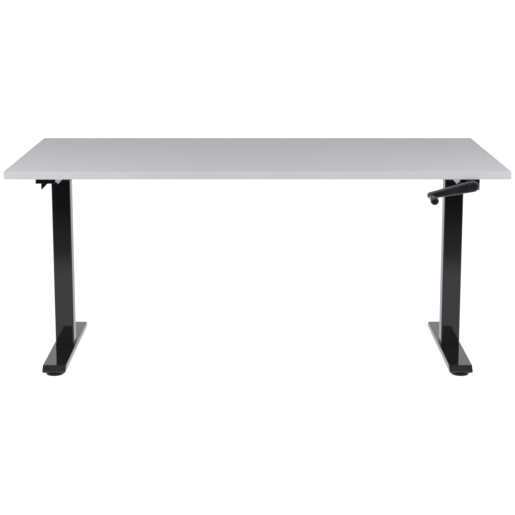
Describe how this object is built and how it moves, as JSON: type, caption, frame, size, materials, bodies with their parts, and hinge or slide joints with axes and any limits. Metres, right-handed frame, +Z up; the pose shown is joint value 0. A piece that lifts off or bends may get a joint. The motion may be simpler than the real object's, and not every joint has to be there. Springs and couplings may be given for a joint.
{
  "type": "height adjustable standing desk",
  "caption": "Rectangular pale grey worktop on black telescopic steel columns with long flat feet, raised and lowered by a hand crank at the right front.",
  "frame": {"origin": "centre of the whole desk's outline on the floor, the pulled-out crank included", "axes": "+X to the sitter's right along the top, +Y away from the sitter, +Z up"},
  "size_m": [1.6, 0.823, 0.71],
  "materials": {
    "laminate_grey": "pale warm-grey melamine laminate with a fine matt texture on chipboard",
    "edge_band": "pale grey ABS edge band, satin",
    "black_steel": "gloss black powder coat on steel",
    "black_plastic": "moulded black plastic",
    "knob_plastic": "satin black plastic grip",
    "glide_rubber": "matt black moulded glide",
    "zinc_steel": "bright zinc plated steel",
    "cast_alloy": "die-cast alloy, as cast",
    "brass": "machined bronze gear",
    "nylon": "natural nylon"
  },
  "bodies": {
    "frame": {"foot_left": "black_steel", "outer_tube_left": "black_steel", "column_plug_left": "cast_alloy", "upper_slider_left": "black_plastic", "nut_tube_left": "zinc_steel", "drive_nut_left": "nylon", "foot_bolt_left_front": "zinc_steel", "foot_bolt_left_back": "zinc_steel", "foot_right": "black_steel", "outer_tube_right": "black_steel", "column_plug_right": "cast_alloy", "upper_slider_right": "black_plastic", "nut_tube_right": "zinc_steel", "drive_nut_right": "nylon", "foot_bolt_right_front": "zinc_steel", "foot_bolt_right_back": "zinc_steel"},
    "lift": {"inner_tube_left": "black_steel", "lower_slider_left": "nylon", "gear_housing_left": "cast_alloy", "screw_bearing_left": "zinc_steel", "side_bracket_left": "black_steel", "inner_tube_right": "black_steel", "lower_slider_right": "nylon", "gear_housing_right": "cast_alloy", "screw_bearing_right": "zinc_steel", "side_bracket_right": "black_steel", "cross_rail_front": "black_steel", "cross_rail_back": "black_steel", "crank_bracket": "black_steel", "crank_bush": "black_plastic", "desktop": "laminate_grey", "edge_band_front": "edge_band", "edge_band_back": "edge_band", "edge_band_left": "edge_band", "edge_band_right": "edge_band"},
    "crank_input": {"input_bevel": "zinc_steel", "input_sleeve": "zinc_steel"},
    "crank": {"crank_shaft": "zinc_steel", "crank_arm": "black_steel", "crank_cap": "black_plastic", "knob_pin": "zinc_steel"},
    "knob": {"knob_grip": "knob_plastic"},
    "cross_shaft": {"cross_shaft_rod": "zinc_steel", "cross_shaft_sleeve": "zinc_steel", "cross_bevel_left": "zinc_steel", "cross_bevel_right": "zinc_steel"},
    "screw_left": {"lead_screw_left": "zinc_steel", "screw_bevel_left": "brass"},
    "screw_right": {"lead_screw_right": "zinc_steel", "screw_bevel_right": "brass"},
    "glide_left_front": {"glide_pad_left_front": "glide_rubber", "glide_stud_left_front": "zinc_steel"},
    "glide_left_back": {"glide_pad_left_back": "glide_rubber", "glide_stud_left_back": "zinc_steel"},
    "glide_right_front": {"glide_pad_right_front": "glide_rubber", "glide_stud_right_front": "zinc_steel"},
    "glide_right_back": {"glide_pad_right_back": "glide_rubber", "glide_stud_right_back": "zinc_steel"}
  },
  "joints": [
    {"name": "lift", "type": "slide", "parent": "frame", "child": "lift", "axis": [0, 0, 1], "range_m": [0, 0.448]},
    {"name": "crank_turn", "type": "hinge", "parent": "lift", "child": "crank_input", "pos_m": [0.678, 0.0015, 0.665], "axis": [0, 1, 0], "continuous": true},
    {"name": "crank_push", "type": "slide", "parent": "crank_input", "child": "crank", "axis": [0, 1, 0], "range_m": [0, 0.045]},
    {"name": "knob_spin", "type": "hinge", "parent": "crank", "child": "knob", "pos_m": [0.54522, -0.37, 0.63556], "axis": [0, 1, 0], "continuous": true},
    {"name": "cross_shaft_turn", "type": "hinge", "parent": "lift", "child": "cross_shaft", "pos_m": [0, 0.0515, 0.665], "axis": [1, 0, 0], "continuous": true},
    {"name": "screw_left_turn", "type": "hinge", "parent": "lift", "child": "screw_left", "pos_m": [-0.678, 0.0515, 0.3], "axis": [0, 0, 1], "continuous": true},
    {"name": "screw_right_turn", "type": "hinge", "parent": "lift", "child": "screw_right", "pos_m": [0.678, 0.0515, 0.3], "axis": [0, 0, 1], "continuous": true},
    {"name": "glide_left_front_level", "type": "slide", "parent": "frame", "child": "glide_left_front", "axis": [0, 0, -1], "range_m": [0, 0.008]},
    {"name": "glide_left_back_level", "type": "slide", "parent": "frame", "child": "glide_left_back", "axis": [0, 0, -1], "range_m": [0, 0.008]},
    {"name": "glide_right_front_level", "type": "slide", "parent": "frame", "child": "glide_right_front", "axis": [0, 0, -1], "range_m": [0, 0.008]},
    {"name": "glide_right_back_level", "type": "slide", "parent": "frame", "child": "glide_right_back", "axis": [0, 0, -1], "range_m": [0, 0.008]}
  ],
  "couplings": [
    {"joint": "crank_turn", "follows": "lift", "rad_per_m": 785.4},
    {"joint": "cross_shaft_turn", "follows": "lift", "rad_per_m": 785.4},
    {"joint": "screw_left_turn", "follows": "lift", "rad_per_m": -785.4},
    {"joint": "screw_right_turn", "follows": "lift", "rad_per_m": -785.4}
  ]
}
